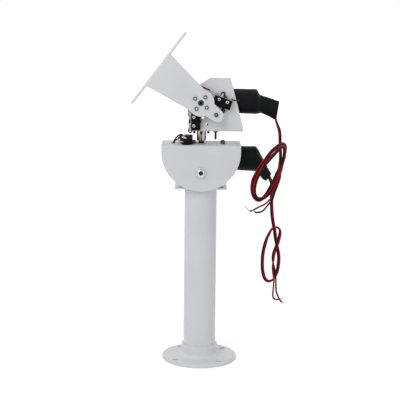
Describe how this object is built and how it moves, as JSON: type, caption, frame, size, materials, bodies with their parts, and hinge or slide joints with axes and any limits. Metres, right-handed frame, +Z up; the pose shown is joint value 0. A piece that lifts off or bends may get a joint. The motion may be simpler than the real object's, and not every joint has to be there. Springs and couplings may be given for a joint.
{
  "type": "pan tilt camera mount",
  "caption": "Pole-mounted pan and tilt camera mount: a round flange and pole carry a worm gear motor that pans a bent bracket, and a second one tilts a flat camera plate.",
  "frame": {"origin": "centre of the base flange's underside", "axes": "+Z up along the pole, +X towards the motors' tails, -Y towards the arm's side, which the picture shows"},
  "size_m": [0.1728, 0.1219, 0.3688],
  "materials": {
    "white_paint": "fine white powder coat",
    "black_plastic": "moulded, satin",
    "plunger_plastic": "moulded",
    "shrink_film": "black heat-shrink film, slight sheen",
    "twin_vinyl": "flat twin cord, one red and one black side",
    "red_vinyl": "cord cover",
    "black_vinyl": "cord cover",
    "zinc": "die cast, plain",
    "brass": "turned",
    "steel": "bright plated"
  },
  "bodies": {
    "base": {"base_flange": "white_paint", "pole_tube": "white_paint", "pole_plug": "black_plastic", "pole_saddle": "white_paint", "saddle_bolt": "steel", "pan_housing": "white_paint", "housing_bolt": "steel", "housing_nut": "steel", "pan_gearbox_case": "zinc", "pan_gearbox_cover": "zinc", "pan_motor": "steel", "pan_motor_sleeve": "shrink_film", "pan_gearbox_screw_1": "steel", "pan_gearbox_screw_2": "steel", "pan_gearbox_screw_3": "steel", "pan_gearbox_screw_4": "steel", "pan_front_switch": "black_plastic", "pan_rear_switch": "black_plastic", "pan_cord": "twin_vinyl", "pan_lead_red": "red_vinyl", "pan_lead_black": "black_vinyl"},
    "pan_head": {"pan_output_shaft": "steel", "pan_hub": "brass", "pan_hub_screw_1": "steel", "pan_hub_screw_2": "steel", "pan_hub_screw_3": "steel", "pan_hub_screw_4": "steel", "tilt_bracket": "white_paint", "pan_stop_screw": "steel", "tilt_gearbox_case": "zinc", "tilt_gearbox_cover": "zinc", "tilt_motor": "steel", "tilt_motor_sleeve": "shrink_film", "tilt_gearbox_screw_1": "steel", "tilt_gearbox_screw_2": "steel", "tilt_gearbox_screw_3": "steel", "tilt_gearbox_screw_4": "steel", "tilt_upper_switch": "black_plastic", "tilt_lower_switch": "black_plastic", "tilt_cord": "twin_vinyl", "tilt_lead_red": "red_vinyl", "tilt_lead_black": "black_vinyl"},
    "tilt_arm": {"tilt_output_shaft": "steel", "tilt_hub": "brass", "tilt_hub_screw_1": "steel", "tilt_hub_screw_2": "steel", "tilt_hub_screw_3": "steel", "tilt_hub_screw_4": "steel", "camera_arm": "white_paint", "tilt_stop_screw": "steel"},
    "pan_idler": {"pan_idler_gear": "brass"},
    "pan_worm": {"pan_worm": "steel"},
    "tilt_idler": {"tilt_idler_gear": "brass"},
    "tilt_worm": {"tilt_worm": "steel"},
    "pan_front_plunger": {"pan_front_plunger": "plunger_plastic"},
    "pan_rear_plunger": {"pan_rear_plunger": "plunger_plastic"},
    "tilt_upper_plunger": {"tilt_upper_plunger": "plunger_plastic"},
    "tilt_lower_plunger": {"tilt_lower_plunger": "plunger_plastic"}
  },
  "joints": [
    {"name": "pan", "type": "hinge", "parent": "base", "child": "pan_head", "pos_m": [0, 0, 0.2473], "axis": [0, 0, 1], "range_deg": [-125, 125]},
    {"name": "tilt", "type": "hinge", "parent": "pan_head", "child": "tilt_arm", "pos_m": [-0.0008, -0.0217, 0.2943], "axis": [0, 1, 0], "range_deg": [-17, 47]},
    {"name": "pan_idler_turn", "type": "hinge", "parent": "base", "child": "pan_idler", "pos_m": [0.01379, 0.0073, 0.2304], "axis": [0, 0, 1], "range_deg": [-405, 405]},
    {"name": "pan_worm_turn", "type": "hinge", "parent": "base", "child": "pan_worm", "pos_m": [0, 0, 0.2304], "axis": [1, 0, 0], "range_deg": [-4860, 4860]},
    {"name": "tilt_idler_turn", "type": "hinge", "parent": "pan_head", "child": "tilt_idler", "pos_m": [0.01299, -0.0071, 0.3016], "axis": [0, -1, 0], "range_deg": [-56, 153]},
    {"name": "tilt_worm_turn", "type": "hinge", "parent": "pan_head", "child": "tilt_worm", "pos_m": [-0.0008, -0.0071, 0.2943], "axis": [1, 0, 0], "range_deg": [-1828, 662]},
    {"name": "pan_front_press", "type": "slide", "parent": "base", "child": "pan_front_plunger", "axis": [-0.9781, -0.2079, 0], "range_m": [0, 0.0006], "stiffness_N_per_m": 1500},
    {"name": "pan_rear_press", "type": "slide", "parent": "base", "child": "pan_rear_plunger", "axis": [-0.9781, 0.2079, 0], "range_m": [0, 0.0006], "stiffness_N_per_m": 1500},
    {"name": "tilt_upper_press", "type": "slide", "parent": "pan_head", "child": "tilt_upper_plunger", "axis": [0.3387, 0, 0.9409], "range_m": [0, 0.0006], "stiffness_N_per_m": 1500},
    {"name": "tilt_lower_press", "type": "slide", "parent": "pan_head", "child": "tilt_lower_plunger", "axis": [-1, 0, 0], "range_m": [0, 0.0006], "stiffness_N_per_m": 1500}
  ],
  "couplings": [
    {"joint": "pan_idler_turn", "follows": "pan", "ratio": -3},
    {"joint": "pan_worm_turn", "follows": "pan", "ratio": 36},
    {"joint": "tilt_idler_turn", "follows": "tilt", "ratio": 3},
    {"joint": "tilt_worm_turn", "follows": "tilt", "ratio": -36}
  ]
}
